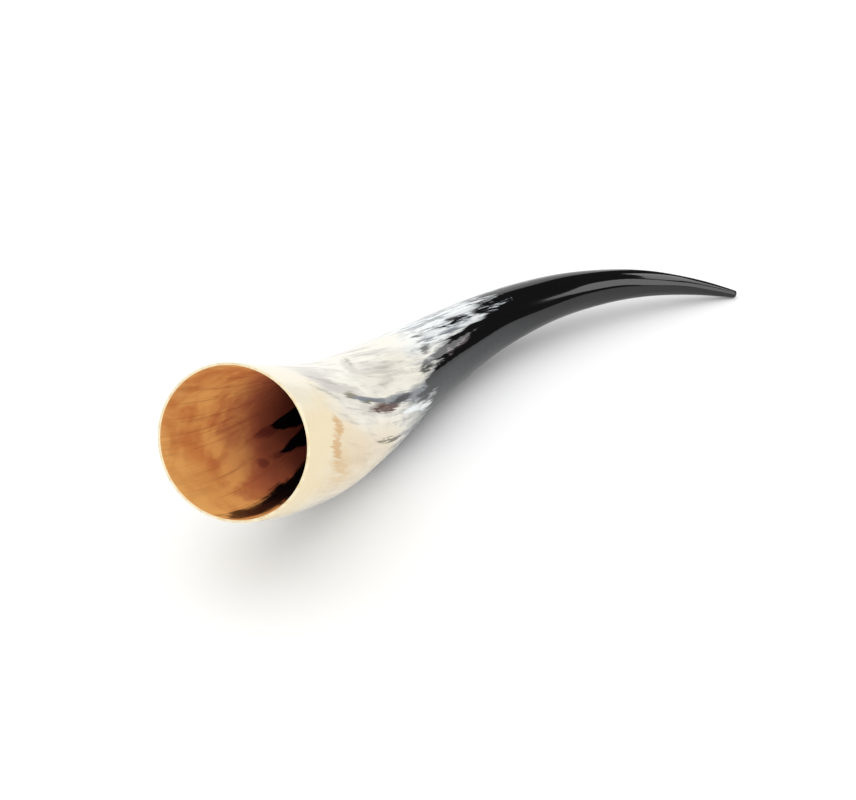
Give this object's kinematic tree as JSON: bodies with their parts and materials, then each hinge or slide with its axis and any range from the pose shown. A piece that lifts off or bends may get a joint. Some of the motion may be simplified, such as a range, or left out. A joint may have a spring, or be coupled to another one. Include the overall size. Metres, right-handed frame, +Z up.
{
  "type": "shofar",
  "caption": "Ox horn shofar: a long curved natural horn, open bell at one end, drilled through a slim blunt tip to be blown.",
  "frame": {"origin": "on the table under the middle of the horn's box, with the horn lying as it rests on its belly and its tip", "axes": "+X from the bell towards the tip, +Z up from the table, +Y to the left seen from the bell"},
  "size_m": [0.442, 0.1752, 0.1202],
  "materials": {
    "polished_horn": "polished"
  },
  "bodies": {
    "root": {"horn": "polished_horn"}
  },
  "joints": []
}
